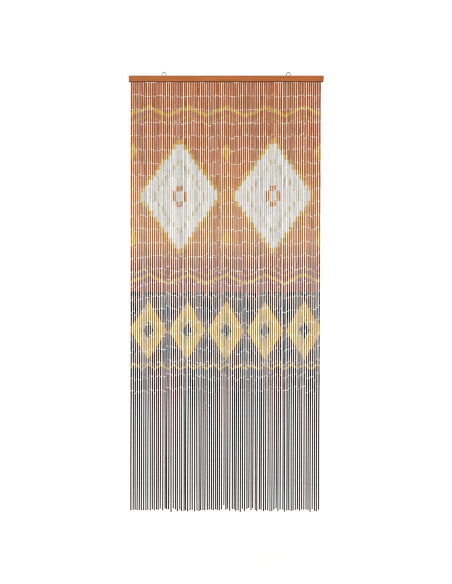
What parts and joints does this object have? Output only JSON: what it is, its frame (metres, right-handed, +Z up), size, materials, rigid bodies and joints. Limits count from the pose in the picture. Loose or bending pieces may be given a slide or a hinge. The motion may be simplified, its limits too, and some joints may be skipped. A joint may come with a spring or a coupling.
{
  "type": "bamboo bead door curtain with its hanging rail",
  "caption": "Door curtain of bamboo tubes strung on wire links, ending in long thin sticks, hung from a painted wooden rail with wire hanging loops.",
  "frame": {"origin": "middle of the rail's top face, midway between the two hanging loops", "axes": "+Z up, +X to the right seen from the front, the painted front faces -Y"},
  "size_m": [0.9, 0.012, 2.0329],
  "materials": {
    "rail_wood": "painted, satin",
    "loop_wire": "plain bright wire",
    "bamboo": "painted bamboo, satin"
  },
  "bodies": {
    "root": {"rail": "rail_wood", "hanging_loop_left": "loop_wire", "hanging_loop_right": "loop_wire", "strands": "bamboo"}
  },
  "joints": []
}
